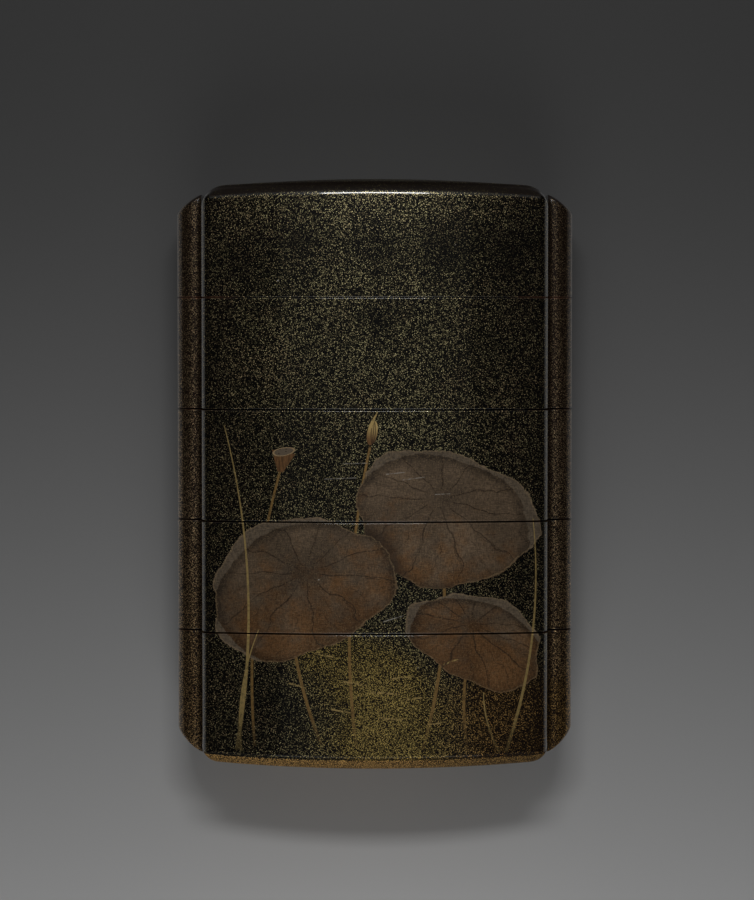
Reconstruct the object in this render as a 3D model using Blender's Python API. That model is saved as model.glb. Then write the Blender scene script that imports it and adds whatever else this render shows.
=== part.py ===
"""Four-case inro with its lid, lying on its back.

Frame: metres, +Z up out of the front, +Y towards the lid, X across.  The origin is under the middle of
the case, on the surface that it lies on.  All the driving dimensions below are in millimetres.
"""

import math
from collections import namedtuple

import bmesh
import bpy
from mathutils import Matrix

MM = 0.001

# Section across the case: a crowned body with a rounded bead down each side.
WIDTH = 57.3
BODY_WIDTH = 49.9
DEPTH = 24.0
CROWN_RISE = 2.9  # how much higher the front is in the middle than at its shoulders
SHOULDER_RADIUS = 2.0
WALL_LEAN = 0.08  # the wall between shoulder and bead leans out by this much
BEAD_DEPTH = 10.4
BEAD_RADIUS = 2.5  # of the bead's front and back
BACK_FLAT_CUT = 0.12  # taken off the crown of the back, so that the case lies without rocking

# Heights along the case, from the top rim down.
LID_HEIGHT = 16.4
CASE_HEIGHT = 16.05
BASE_HEIGHT = 19.3
MIDDLE_CASES = 3

# Ends of the case.
END_DOME = 0.83
END_ROUND = 2.26  # radius between an end and the front or back
LEAST_ROUND = 0.35  # what is left of that radius at the corners
ROUND_LOST = 1.29  # how much of that radius goes for each millimetre that the end drops past its edge
BEAD_END_ROUND = 0.6
BEAD_END_POWER = 1.25
End = namedtuple("End", "arch edge_arch corner bead_back bead_slope")
LID_END = End(arch=0.5, edge_arch=0.5, corner=3.4, bead_back=1.55, bead_slope=2.85)
BASE_END = End(arch=0.6, edge_arch=0.27, corner=2.4, bead_back=1.4, bead_slope=3.5)

# Insides.
GAP = 0.3  # between two pieces that touch
WALL = 1.4
RISER_WALL = 1.1
RISER_HEIGHT = 5.0
FLOOR = 1.2
LID_TOP_WALL = 1.2  # the lid's ceiling lies this far under its rim
BASE_FLOOR_WALL = 1.2
RECESS_WIDTH = 44.8
OVAL_POWER = 3.2  # superellipse power of the oval insides
CHANNEL_WIDTH = 2.3
CHANNEL_DEPTH = 5.0
CHANNEL_OFFSET = 26.2  # cord channel's middle, from the middle of the case

# Facets.
FLAT_STEPS = 2
CROWN_STEPS = 9
SHOULDER_STEPS = 5
BEAD_STEPS = 8
DOME_STEPS = 4
ROUND_STEPS = 5
OVAL_SIDES = 64
CHANNEL_SIDES = 24

HALF_DEPTH = DEPTH / 2
HALF_WIDTH = WIDTH / 2
BODY_HALF = BODY_WIDTH / 2
BEAD_START = BODY_HALF + WALL_LEAN
BEAD_CREST = HALF_WIDTH - BEAD_RADIUS  # the bead's highest line, from the middle of the case
CROWN_RADIUS = (BODY_HALF**2 + CROWN_RISE**2) / (2 * CROWN_RISE)
MID_HEIGHT = HALF_DEPTH - BACK_FLAT_CUT  # of the case's middle plane above the ground

BODY_HEIGHT = LID_HEIGHT + MIDDLE_CASES * CASE_HEIGHT + BASE_HEIGHT
TOP_RIM = BODY_HEIGHT / 2
BOTTOM_RIM = -TOP_RIM
LID_SEAM = TOP_RIM - LID_HEIGHT

# Ovals, as (half width, half depth).
RECESS = (RECESS_WIDTH / 2, HALF_DEPTH - WALL)
RISER = (RECESS[0] - GAP, RECESS[1] - GAP)
COMPARTMENT = (RISER[0] - RISER_WALL, RISER[1] - RISER_WALL)


def clear_scene():
    for obj in list(bpy.data.objects):
        bpy.data.objects.remove(obj, do_unlink=True)


def new_collection(name):
    collection = bpy.data.collections.new(name)
    bpy.context.scene.collection.children.link(collection)
    return collection


def lacquer(name, colour, roughness, metallic):
    material = bpy.data.materials.new(name)
    material.use_nodes = True
    shader = material.node_tree.nodes["Principled BSDF"]
    shader.inputs["Base Color"].default_value = (*colour, 1)
    shader.inputs["Roughness"].default_value = roughness
    shader.inputs["Metallic"].default_value = metallic
    return material


def crown(x):
    """Half depth of the body at x."""
    return HALF_DEPTH - CROWN_RADIUS + math.sqrt(CROWN_RADIUS**2 - x**2)


def superellipse(angle, half_x, half_y, power):
    """The point of a superellipse in the direction whose tangent is scaled as an ellipse's is."""
    c, s = math.cos(angle), math.sin(angle)
    x = math.copysign(abs(c) ** (2 / power), c) * half_x
    y = math.copysign(abs(s) ** (2 / power), s) * half_y
    return x, y


def arc(centre_x, centre_z, radius, first, last, steps):
    """Points of an arc, by turns from straight up towards +X."""
    turns = [first + (last - first) * i / steps for i in range(steps + 1)]
    return [(centre_x + radius * math.sin(turn), centre_z + radius * math.cos(turn)) for turn in turns]


def half_section():
    """(x, half depth) from the middle of the front out to the side of a bead."""
    flat_edge = math.sqrt(CROWN_RADIUS**2 - (CROWN_RADIUS - BACK_FLAT_CUT) ** 2)
    fillet_x = BODY_HALF - SHOULDER_RADIUS
    touch_x = fillet_x / (1 - SHOULDER_RADIUS / CROWN_RADIUS)
    slope = math.asin(touch_x / CROWN_RADIUS)
    fillet_z = crown(touch_x) - SHOULDER_RADIUS * math.cos(slope)

    section = [(flat_edge * i / FLAT_STEPS, crown(flat_edge * i / FLAT_STEPS)) for i in range(FLAT_STEPS)]
    for i in range(CROWN_STEPS):
        x = flat_edge + (touch_x - flat_edge) * i / CROWN_STEPS
        section.append((x, crown(x)))
    section += arc(fillet_x, fillet_z, SHOULDER_RADIUS, slope, math.pi / 2, SHOULDER_STEPS)
    root_turn = -math.asin((BEAD_CREST - BEAD_START) / BEAD_RADIUS)
    bead_z = BEAD_DEPTH / 2 - BEAD_RADIUS
    section += arc(BEAD_CREST, bead_z, BEAD_RADIUS, root_turn, math.pi / 2, BEAD_STEPS)
    return section


def end_shape(x, end):
    """The end's height over its rim's middle at x, the dome's over that, and the radius of its edges."""
    if abs(x) < BODY_HALF + WALL_LEAN / 2:
        share = (x / BODY_HALF) ** 2
        into = max(abs(x) - (BODY_HALF - end.corner), 0)
        corner = end.corner - math.sqrt(max(end.corner**2 - into**2, 0))
        lost = (end.arch - end.edge_arch) * share + corner
        radius = max(END_ROUND - ROUND_LOST * lost, LEAST_ROUND)
        return -end.arch * share - corner, END_DOME * (1 - share), radius
    beyond = min(max(abs(x) - BEAD_START, 0) / (HALF_WIDTH - BEAD_START), 1)
    slope = end.bead_slope * (1 - (1 - beyond**BEAD_END_POWER) ** (1 / BEAD_END_POWER))
    return -end.bead_back - slope, 0.0, BEAD_END_ROUND


def end_point(x, half_depth, row, rows, end):
    """(z, rise) on an end, for a row from 0 at the back's surface to the last one at the front's."""
    rim, dome, radius = end_shape(x, end)
    side = 1 if 2 * row >= rows else -1
    depth = half_depth if side > 0 else min(half_depth, MID_HEIGHT)
    slant = 2 * dome / depth
    first = math.atan(slant)
    from_edge = min(row, rows - row)
    if from_edge < ROUND_STEPS:
        turn = math.pi / 2 - (math.pi / 2 - first) * from_edge / ROUND_STEPS
        centre = rim - radius * math.hypot(1, slant) + radius * slant
        return side * (depth - radius * (1 - math.sin(turn))), centre + radius * math.cos(turn)
    z = (depth - radius * (1 - math.sin(first))) * (2 * row - rows) / (rows - 2 * ROUND_STEPS)
    return z, rim + dome * (1 - (z / depth) ** 2)


def make_object(name, bm, collection, materials=()):
    mesh = bpy.data.meshes.new(name)
    bm.to_mesh(mesh)
    bm.free()
    for material in materials:
        mesh.materials.append(material)
    obj = bpy.data.objects.new(name, mesh)
    collection.objects.link(obj)
    return obj


def section_block(name, low, high, material, collection, end=None):
    """A length of the case's full section between two heights, closed by an end's shape where one is given.

    A grid is laid over the section, one column for each of its points, and extruded from end to end.
    """
    half = half_section()
    columns = [(-x, z) for x, z in reversed(half[1:])] + half
    rows = DOME_STEPS + 2 * ROUND_STEPS if end else 1
    steps = len(columns) - 1
    bm = bmesh.new()
    bmesh.ops.create_grid(bm, x_segments=steps, y_segments=rows, size=0.5)
    outer, inner = (low, high) if end is BASE_END else (high, low)
    out = -1 if end is BASE_END else 1
    for vert in bm.verts:
        x, half_depth = columns[round((vert.co.x + 0.5) * steps)]
        row = round((vert.co.y + 0.5) * rows)
        if end:
            z, rise = end_point(x, half_depth, row, rows, end)
        else:
            z, rise = (half_depth, 0.0) if row else (-min(half_depth, MID_HEIGHT), 0.0)
        vert.co = (x * MM, (outer + out * rise) * MM, (z + MID_HEIGHT) * MM)
    made = bmesh.ops.extrude_face_region(bm, geom=bm.faces[:])["geom"]
    for vert in (g for g in made if isinstance(g, bmesh.types.BMVert)):
        vert.co.y = inner * MM
    flat = [g for g in made if isinstance(g, bmesh.types.BMFace)]
    bmesh.ops.dissolve_faces(bm, faces=flat, use_verts=False)
    bmesh.ops.recalc_face_normals(bm, faces=bm.faces[:])
    obj = make_object(name, bm, collection, [material])
    obj.data.shade_smooth()
    obj.data.set_sharp_from_angle(angle=math.radians(35))
    return obj


def oval_prism(name, oval, low, high, collection, middle=0.0, power=OVAL_POWER, sides=OVAL_SIDES):
    """An oval prism along Y, from a cylinder whose sides are pushed out to a superellipse."""
    bm = bmesh.new()
    along_y = Matrix.Rotation(math.pi / 2, 4, "X")
    bmesh.ops.create_cone(bm, cap_ends=True, segments=sides, radius1=1, radius2=1, depth=1, matrix=along_y)
    for vert in bm.verts:
        x, z = superellipse(math.atan2(vert.co.z, vert.co.x), oval[0], oval[1], power)
        y = high if vert.co.y > 0 else low
        vert.co = ((middle + x) * MM, y * MM, (MID_HEIGHT + z) * MM)
    obj = make_object(name, bm, collection)
    obj.hide_render = True
    obj.display_type = "WIRE"
    return obj


def join_with(obj, other, operation):
    modifier = obj.modifiers.new(other.name, "BOOLEAN")
    modifier.operation = operation
    modifier.object = other
    modifier.solver = "EXACT"


def cut_channels(obj, low, high, tools):
    """The two cord channels, one down each side bead."""
    oval = (CHANNEL_WIDTH / 2, CHANNEL_DEPTH / 2)
    for side, middle in (("left", -CHANNEL_OFFSET), ("right", CHANNEL_OFFSET)):
        name = f"{obj.name}_{side}_channel"
        cutter = oval_prism(name, oval, low - 5, high + 5, tools, middle, power=2, sides=CHANNEL_SIDES)
        join_with(obj, cutter, "DIFFERENCE")


def add_riser(obj, floor, edge, tools):
    """The upright wall inside a case that stands up past its edge, and the compartment within it."""
    low, high = floor + FLOOR, edge + RISER_HEIGHT
    riser = oval_prism(f"{obj.name}_riser", RISER, low, high, tools)
    inside = oval_prism(f"{obj.name}_compartment", COMPARTMENT, low, high + 1, tools)
    join_with(obj, riser, "UNION")
    join_with(obj, inside, "DIFFERENCE")


def build_lid(material, model, tools):
    low = LID_SEAM + GAP / 2
    lid = section_block("lid", low, TOP_RIM, material, model, LID_END)
    hollow = oval_prism("lid_hollow", RECESS, low - 1, TOP_RIM - LID_TOP_WALL, tools)
    join_with(lid, hollow, "DIFFERENCE")
    cut_channels(lid, low, TOP_RIM, tools)


def build_middle_case(number, material, model, tools):
    high = LID_SEAM - (number - 1) * CASE_HEIGHT - GAP / 2
    low = high - CASE_HEIGHT + GAP
    floor = low + RISER_HEIGHT + GAP
    case = section_block(f"case_{number}", low, high, material, model)
    add_riser(case, floor, high, tools)
    recess = oval_prism(f"case_{number}_recess", RECESS, low - 1, floor, tools)
    join_with(case, recess, "DIFFERENCE")
    cut_channels(case, low, high, tools)


def build_base_case(number, material, model, tools):
    high = BOTTOM_RIM + BASE_HEIGHT - GAP / 2
    case = section_block(f"case_{number}", BOTTOM_RIM, high, material, model, BASE_END)
    add_riser(case, BOTTOM_RIM + BASE_FLOOR_WALL - FLOOR, high, tools)
    cut_channels(case, BOTTOM_RIM, high, tools)


def main():
    clear_scene()
    model = new_collection("inro")
    tools = new_collection("inro_tools")
    dusted = lacquer("gold_dusted_lacquer", (0.045, 0.035, 0.018), 0.3, 0.2)
    pictured = lacquer("pictured_lacquer", (0.06, 0.04, 0.025), 0.35, 0.1)
    build_lid(dusted, model, tools)
    for number in range(1, MIDDLE_CASES + 1):
        build_middle_case(number, dusted if number == 1 else pictured, model, tools)
    build_base_case(MIDDLE_CASES + 1, dusted, model, tools)


main()
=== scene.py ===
import math
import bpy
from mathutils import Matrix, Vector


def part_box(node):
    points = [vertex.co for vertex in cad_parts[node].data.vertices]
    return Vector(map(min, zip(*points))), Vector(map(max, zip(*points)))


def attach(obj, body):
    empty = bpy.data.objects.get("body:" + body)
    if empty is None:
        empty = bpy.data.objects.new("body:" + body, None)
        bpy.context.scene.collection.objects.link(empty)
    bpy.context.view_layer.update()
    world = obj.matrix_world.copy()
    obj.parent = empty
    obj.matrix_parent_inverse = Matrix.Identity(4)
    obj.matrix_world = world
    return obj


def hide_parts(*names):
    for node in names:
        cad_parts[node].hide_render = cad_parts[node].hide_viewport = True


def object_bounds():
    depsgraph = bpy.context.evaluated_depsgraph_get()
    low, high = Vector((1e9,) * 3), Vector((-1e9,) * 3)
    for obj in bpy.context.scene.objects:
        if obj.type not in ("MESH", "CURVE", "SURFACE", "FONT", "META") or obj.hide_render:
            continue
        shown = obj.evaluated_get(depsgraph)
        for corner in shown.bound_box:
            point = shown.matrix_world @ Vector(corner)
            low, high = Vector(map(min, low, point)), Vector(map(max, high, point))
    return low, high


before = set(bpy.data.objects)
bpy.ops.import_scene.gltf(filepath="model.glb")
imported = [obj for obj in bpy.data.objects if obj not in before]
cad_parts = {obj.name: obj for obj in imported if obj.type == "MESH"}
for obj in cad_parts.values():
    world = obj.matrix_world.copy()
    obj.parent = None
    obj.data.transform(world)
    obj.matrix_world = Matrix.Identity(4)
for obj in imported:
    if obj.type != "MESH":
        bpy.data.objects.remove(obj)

from types import SimpleNamespace

import bpy
from mathutils import Vector

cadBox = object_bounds()
mm = 0.001
weld = 1e-7  # metres within which points count as one
cadNodes = ("lid", "case_1", "case_2", "case_3", "case_4")

# the outer shape of the whole case, in millimetres
caseShape = {
    "halfDepth": 12.0,
    "bodyHalf": 24.95,  # half the width between the beads
    "frontRise": 2.9,  # how far the front swells above its shoulders
    "shoulder": 2.0,
    "wallLean": 0.08,  # of the short wall between shoulder and bead
    "beadHeight": 5.2,  # from the middle plane
    "beadRound": 2.5, "endDome": 0.83,
    "endRound": 2.26,  # the rounding of the ends' edge in the middle of the front
    "leastRound": 0.35,
    "fallPerRound": 0.775,  # how far the edge falls below its line for each millimetre off its rounding
    "beadEndRound": 0.6,
    "beadEndPower": 1.25,  # 1 would slope the bead's end in a straight line
    "atBead": 0.001,  # points this close to a bead's start belong to it
    "sharpAngle": 38.0,  # degrees from which an edge is shaded sharp
    "evenSteps": 0.6,  # the rest of the front's steps gather at the shoulder
    "crownSteps": 30, "shoulderSteps": 14, "beadSteps": 16, "domeSteps": 20, "rimSteps": 12,
}

# what differs between the lid's end and the base's: how far the rim arches, how much of that the edge's
# line keeps, how round the corners are, how far the beads stand back, and how far they slope
endShapes = {
    "lid": {"arch": 0.5, "line": 0.5, "corner": 3.4, "beadBack": 1.55, "beadSlope": 2.85},
    "base": {"arch": 0.6, "line": 0.27, "corner": 2.4, "beadBack": 1.4, "beadSlope": 3.5},
}

# the seams between the pieces
seamShape = {
    "solidGap": 0.3,  # between the frame's solids
    "gaps": (0.07, 0.2, 0.22, 0.22),  # what the eye sees, from the lid down
    "lip": 0.12,
    "lipSteps": 3,
    "support": 0.22,  # from the edge to the loop that keeps the shading flat
    "onEdge": 0.001,
}

# the insides
insideShape = {
    "wall": 1.4,
    "slide": 0.3,  # the gap between a riser and what goes over it
    "riserWall": 1.1, "riser": 5.0, "floor": 1.2, "lidTop": 1.2, "baseFloor": 1.2,
    "halfWidth": 22.4,
    "oval": 3.2,  # 2 would be an ellipse, more is fuller
    "sides": 128,
    "overlap": 1.0,  # how far a tool runs past what it cuts
    "channelHalf": (1.15, 2.5), "channelAt": 26.2, "channelPast": 5.0, "channelSides": 32,
}

caseHalf = cadBox[1].x / mm
caseMiddle = cadBox[1].z / mm - caseShape["halfDepth"]  # height of the middle plane
topRim = cadBox[1].y / mm - caseShape["endDome"]
bottomRim = cadBox[0].y / mm + caseShape["endDome"]
seams = [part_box(node)[0].y / mm - seamShape["solidGap"] / 2 for node in cadNodes[:4]]

print("frame loaded, seams at", [round(y, 2) for y in seams])


def enter(mode):
    bpy.ops.object.mode_set(mode=mode)


def deselectAll():
    if bpy.context.object and bpy.context.object.mode != "OBJECT":
        enter("OBJECT")
    bpy.ops.object.select_all(action="DESELECT")


def makeActive(piece):
    deselectAll()
    piece.select_set(True)
    bpy.context.view_layer.objects.active = piece


def selectMesh(action):
    bpy.ops.mesh.select_all(action=action)


def faceOutward():
    selectMesh("SELECT")
    bpy.ops.mesh.normals_make_consistent(inside=False)


def moveVerts(piece, place):
    for vert in piece.data.vertices:
        vert.co = place(vert.co)
    piece.data.update()


def swell(x):
    # half the body's depth at x, and the radius of the swelling
    rise = caseShape["frontRise"]
    radius = (caseShape["bodyHalf"] ** 2 + rise**2) / (2 * rise)
    return caseShape["halfDepth"] - radius + math.sqrt(radius**2 - x**2), radius


def turnRound(centreX, centreZ, radius, first, last, steps):
    turns = [first + (last - first) * i / steps for i in range(steps + 1)]
    return [(centreX + radius * math.sin(t), centreZ + radius * math.cos(t)) for t in turns]


def halfOutline():
    # the section's points from the middle of the front to the side of a bead, as (x, half depth)
    radius = swell(0)[1]
    shoulder = caseShape["shoulder"]
    shoulderX = caseShape["bodyHalf"] - shoulder
    touchX = shoulderX / (1 - shoulder / radius)
    slope = math.asin(touchX / radius)
    steps = caseShape["crownSteps"]
    outline = []
    even = caseShape["evenSteps"]
    for i in range(steps):
        share = i / steps
        x = touchX * (even * share + (1 - even) * math.sin(share * math.pi / 2))
        outline.append((x, swell(x)[0]))
    shoulderZ = swell(touchX)[0] - shoulder * math.cos(slope)
    outline += turnRound(shoulderX, shoulderZ, shoulder, slope, math.pi / 2, caseShape["shoulderSteps"])
    beadRound = caseShape["beadRound"]
    crest = caseHalf - beadRound
    root = -math.asin((crest - caseShape["bodyHalf"] - caseShape["wallLean"]) / beadRound)
    beadZ = caseShape["beadHeight"] - beadRound
    return outline + turnRound(crest, beadZ, beadRound, root, math.pi / 2, caseShape["beadSteps"])


def endHeight(x, end):
    # at x: the end's height past the rim's line, the dome over that, and the rounding to front and back
    bodyHalf = caseShape["bodyHalf"]
    beadStart = bodyHalf + caseShape["wallLean"]
    if abs(x) < beadStart - caseShape["atBead"]:
        share = min(abs(x) / bodyHalf, 1) ** 2
        into = max(abs(x) - (bodyHalf - end["corner"]), 0)
        corner = end["corner"] - math.sqrt(max(end["corner"] ** 2 - into**2, 0))
        lost = (end["arch"] - end["line"]) * share + corner
        rounding = max(caseShape["endRound"] - lost / caseShape["fallPerRound"], caseShape["leastRound"])
        return -end["arch"] * share - corner, caseShape["endDome"] * (1 - share), rounding
    beyond = min((abs(x) - beadStart) / (caseHalf - beadStart), 1)
    power = caseShape["beadEndPower"]
    slope = end["beadSlope"] * (1 - max(1 - beyond**power, 0) ** (1 / power))
    return -end["beadBack"] - slope, 0, caseShape["beadEndRound"]


def endPoint(x, halfDepth, row, rows, end):
    # a point of a domed end: rows run from the back's surface over the dome to the front's
    rim, dome, rounding = endHeight(x, end)
    side = 1 if row * 2 >= rows else -1
    depth = halfDepth if side > 0 else min(halfDepth, caseMiddle)
    slant = 2 * dome / depth
    first = math.atan(slant)
    steps = caseShape["rimSteps"]
    fromEdge = min(row, rows - row)
    if fromEdge < steps:
        turn = math.pi / 2 - (math.pi / 2 - first) * fromEdge / steps
        z = depth - rounding + rounding * math.sin(turn)
        centreY = rim - rounding * math.hypot(1, slant) + slant * rounding
        return side * z, centreY + rounding * math.cos(turn)
    edge = depth - rounding + rounding * math.sin(first)
    share = (2 * row - rows) / (rows - 2 * steps)
    z = edge * share
    return z, rim + dome * (1 - (z / depth) ** 2)


def wholeBlock():
    # the case's outer shape in one solid: a grid for one domed end, extruded to make the other
    half = halfOutline()
    columns = [(-x, z) for x, z in reversed(half[1:])] + half
    rows = caseShape["domeSteps"] + 2 * caseShape["rimSteps"]
    deselectAll()
    bpy.ops.mesh.primitive_grid_add(x_subdivisions=len(columns) - 1, y_subdivisions=rows, size=1)
    block = bpy.context.object
    enter("EDIT")
    selectMesh("SELECT")
    bpy.ops.mesh.extrude_region_move(TRANSFORM_OT_translate={"value": (0, 0, -1)})
    enter("OBJECT")

    def place(co):
        x, halfDepth = columns[round((co.x + 0.5) * (len(columns) - 1))]
        row = round((co.y + 0.5) * rows)
        atLid = co.z > -0.5
        z, rise = endPoint(x, halfDepth, row, rows, endShapes["lid" if atLid else "base"])
        y = topRim + rise if atLid else bottomRim - rise
        return Vector((x, y, z + caseMiddle)) * mm

    moveVerts(block, place)
    enter("EDIT")
    faceOutward()
    deselectAll()
    return block


def bisectAt(y, **cut):
    selectMesh("SELECT")
    bpy.ops.mesh.bisect(plane_co=(0, y * mm, 0), plane_no=(0, 1, 0), threshold=weld, **cut)


def roundLip(piece, y):
    # the sharp edge that a cut leaves gets a fine rounding
    enter("OBJECT")
    enter("EDIT")
    selectMesh("DESELECT")
    enter("OBJECT")
    verts = piece.data.vertices
    for edge in piece.data.edges:
        edge.select = all(abs(verts[v].co.y - y * mm) < seamShape["onEdge"] * mm for v in edge.vertices)
    enter("EDIT")
    bpy.ops.mesh.select_mode(type="EDGE")
    bpy.ops.mesh.bevel(
        offset=seamShape["lip"] * mm, segments=seamShape["lipSteps"], affect="EDGES", clamp_overlap=False
    )
    bpy.ops.mesh.select_mode(type="VERT")


def cutPiece(block, name, high, low):
    # a copy of the block between two heights; None keeps that end's dome
    makeActive(block)
    bpy.ops.object.duplicate()
    piece = bpy.context.object
    piece.name = name
    piece.data.name = name
    enter("EDIT")
    if high is not None:
        bisectAt(high - seamShape["support"])
        bisectAt(high, use_fill=True, clear_outer=True)
        roundLip(piece, high)
    if low is not None:
        bisectAt(low + seamShape["support"])
        bisectAt(low, use_fill=True, clear_inner=True)
        roundLip(piece, low)
    faceOutward()
    deselectAll()
    return piece


def ovalPlug(halfX, halfZ, low, high, middle=0, power=None, sides=None):
    # a cylinder along Y, pushed out to a fuller oval
    power = power or insideShape["oval"]
    deselectAll()
    bpy.ops.mesh.primitive_cylinder_add(
        vertices=sides or insideShape["sides"],
        radius=1,
        depth=(high - low) * mm,
        location=(0, (low + high) / 2 * mm, 0),
        rotation=(math.pi / 2, 0, 0),
    )
    bpy.ops.object.transform_apply()
    plug = bpy.context.object

    def place(co):
        angle = math.atan2(co.z, co.x)
        c, s = math.cos(angle), math.sin(angle)
        x = math.copysign(abs(c) ** (2 / power), c) * halfX
        z = math.copysign(abs(s) ** (2 / power), s) * halfZ
        return Vector(((middle + x) * mm, co.y, (caseMiddle + z) * mm))

    moveVerts(plug, place)
    plug.data.materials.append(insideLacquer)
    return plug


def combine(piece, plug, operation):
    makeActive(piece)
    modifier = piece.modifiers.new("fit", "BOOLEAN")
    modifier.operation = operation
    modifier.object = plug
    modifier.solver = "EXACT"
    modifier.material_mode = "TRANSFER"
    bpy.ops.object.modifier_apply(modifier=modifier.name)
    bpy.data.objects.remove(plug, do_unlink=True)


def finishPiece(piece, node):
    makeActive(piece)
    enter("EDIT")
    selectMesh("SELECT")
    bpy.ops.mesh.remove_doubles(threshold=weld)
    faceOutward()
    deselectAll()
    makeActive(piece)
    bpy.ops.object.shade_smooth_by_angle(angle=math.radians(caseShape["sharpAngle"]))
    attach(piece, "root")
    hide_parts(node)


def feed(socket, value):
    if isinstance(value, bpy.types.NodeSocket):
        socket.id_data.links.new(value, socket)
    else:
        socket.default_value = value


def feedAll(node, values):
    for label, value in values.items():
        feed(node.inputs[label], value)


def addNode(kind, *values):
    # a node in the tree that holds the first socket among the values
    tree = next(value.id_data for value in values if isinstance(value, bpy.types.NodeSocket))
    return tree.nodes.new("ShaderNode" + kind)


def calc(operation, first, second=0.0, third=0.0, clamp=False):
    node = addNode("Math", first, second, third)
    node.operation = operation
    node.use_clamp = clamp
    for socket, value in zip(node.inputs, (first, second, third)):
        feed(socket, value)
    return node.outputs[0]


def times(first, second, clamp=False):
    return calc("MULTIPLY", first, second, clamp=clamp)


def less(first, second):
    return calc("SUBTRACT", first, second)


def most(first, second, clamp=False):
    return calc("MAXIMUM", first, second, clamp=clamp)


def absolute(value):
    return calc("ABSOLUTE", value)


def scaled(value, factor, start, clamp=False):
    # the start and factor times the value
    return calc("MULTIPLY_ADD", value, factor, start, clamp)


def aim(operation, first, second=(0, 0, 0), scale=1.0):
    # what calc does, for vectors
    node = addNode("VectorMath", first)
    node.operation = operation
    feed(node.inputs[0], first)
    if operation == "SCALE":
        feed(node.inputs["Scale"], scale)
    else:
        feed(node.inputs[1], second)
    return node.outputs[1 if operation in ("LENGTH", "DOT_PRODUCT") else 0]


def ease(value, low, high, toLow=0.0, toHigh=1.0):
    # a soft step between two values
    node = addNode("MapRange", value)
    node.interpolation_type = "SMOOTHSTEP"
    feedAll(node, {"Value": value, "From Min": low, "From Max": high})
    feedAll(node, {"To Min": toLow, "To Max": toHigh})
    return node.outputs[0]


def band(value, low, full, fromFull, high):
    # up to 1 and down to 0 again
    return times(ease(value, low, full), ease(value, fromFull, high, 1, 0))


def mixColour(factor, first, second, blend="MIX"):
    node = addNode("Mix", factor, first, second)
    node.data_type = "RGBA"
    node.blend_type = blend
    feed(node.inputs[0], factor)
    for socket, value in ((node.inputs[6], first), (node.inputs[7], second)):
        feed(socket, value if isinstance(value, bpy.types.NodeSocket) else (*value, 1))
    return node.outputs[2]


def mixValue(factor, first, second):
    node = addNode("Mix", factor, first, second)
    feed(node.inputs[0], factor)
    feed(node.inputs[2], first)
    feed(node.inputs[3], second)
    return node.outputs[0]


def cloud(place, size, detail=2.0, rough=0.5, stretch=None, shift=(0, 0, 0)):
    # noise whose patches are about size millimetres across
    if stretch or any(shift):
        node = addNode("Mapping", place)
        feedAll(node, {"Vector": place, "Location": shift, "Scale": stretch or (1, 1, 1)})
        place = node.outputs[0]
    noise = addNode("TexNoise", place)
    feedAll(noise, {"Vector": place, "Scale": 1 / size, "Detail": detail, "Roughness": rough})
    return noise.outputs["Fac"]


def cells(place, scale):
    node = addNode("TexVoronoi", place)
    feedAll(node, {"Vector": place, "Scale": scale})
    return node.outputs


def splitXyz(place):
    node = addNode("SeparateXYZ", place)
    feed(node.inputs[0], place)
    return node.outputs


def joinXyz(x, y, z=0.0):
    node = addNode("CombineXYZ", x, y, z)
    for socket, value in zip(node.inputs, (x, y, z)):
        feed(socket, value)
    return node.outputs[0]


def timesValue(colour, value):
    return mixColour(1.0, colour, joinXyz(value, value, value), "MULTIPLY")


def placeHere(tree):
    # where a point is, in millimetres
    where = tree.nodes.new("ShaderNodeTexCoord")
    return aim("SCALE", where.outputs["Object"], scale=1 / mm)


def newMaterial(name):
    material = bpy.data.materials.new(name)
    material.use_nodes = True
    return material, material.node_tree, material.node_tree.nodes["Principled BSDF"]


def newGroup(name, inputs, outputs):
    group = bpy.data.node_groups.new(name, "ShaderNodeTree")
    for label, start in inputs.items():
        kind = "NodeSocketVector" if isinstance(start, tuple) else "NodeSocketFloat"
        group.interface.new_socket(label, in_out="INPUT", socket_type=kind).default_value = start
    for label in outputs:
        group.interface.new_socket(label, in_out="OUTPUT", socket_type="NodeSocketFloat")
    entry = group.nodes.new("NodeGroupInput").outputs
    leave = group.nodes.new("NodeGroupOutput").inputs
    return group, entry, leave


def useGroup(group, **values):
    node = addNode("Group", *values.values())
    node.node_tree = group
    feedAll(node, values)
    return node.outputs


# soft steps in the dictionaries below are where the step starts and ends, and the values there if these
# aren't 0 and 1
dustShape = {
    "turn": (0.62, 0.48, 0.35),  # askew, so that no face of the case runs along the cells
    "solid": 0.6,  # how much of a flake is there in full
    "levelOut": 0.3,  # keeps the dust as bright when the spread changes
    "seen": (0, 0.03),
}


def makeGoldDust():
    # flakes packed side by side in the lacquer, most of them dim and a few bright: the amount says how bright
    # they are together, and the spread how few of them carry it. Their brightness is painted into their
    # colour: partly flakes of unlike brightness, partly painted glints of flakes turned to the light
    group, entry, leave = newGroup(
        "goldDust",
        {"Place": (0, 0, 0), "Cell": 0.13, "Amount": 0.45, "Size": 0.7, "Spread": 5.5},
        ("Flake", "Glint", "Tint"),
    )
    skew = addNode("Mapping", entry["Place"])
    feedAll(skew, {"Rotation": dustShape["turn"], "Vector": entry["Place"]})
    cell = cells(skew.outputs[0], calc("DIVIDE", 1, entry["Cell"]))
    tint, _, chance = splitXyz(cell["Color"])
    near = ease(cell["Distance"], times(entry["Size"], dustShape["solid"]), entry["Size"], 1, 0)
    level = scaled(entry["Spread"], dustShape["levelOut"], dustShape["levelOut"])
    level = times(level, entry["Amount"])
    # painted glints: each flake's brightness is drawn at random into its colour
    glint = times(calc("POWER", chance, entry["Spread"]), level, clamp=True)
    feed(leave["Tint"], tint)
    feed(leave["Glint"], glint)
    feed(leave["Flake"], times(near, ease(glint, *dustShape["seen"])))
    return group


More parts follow.
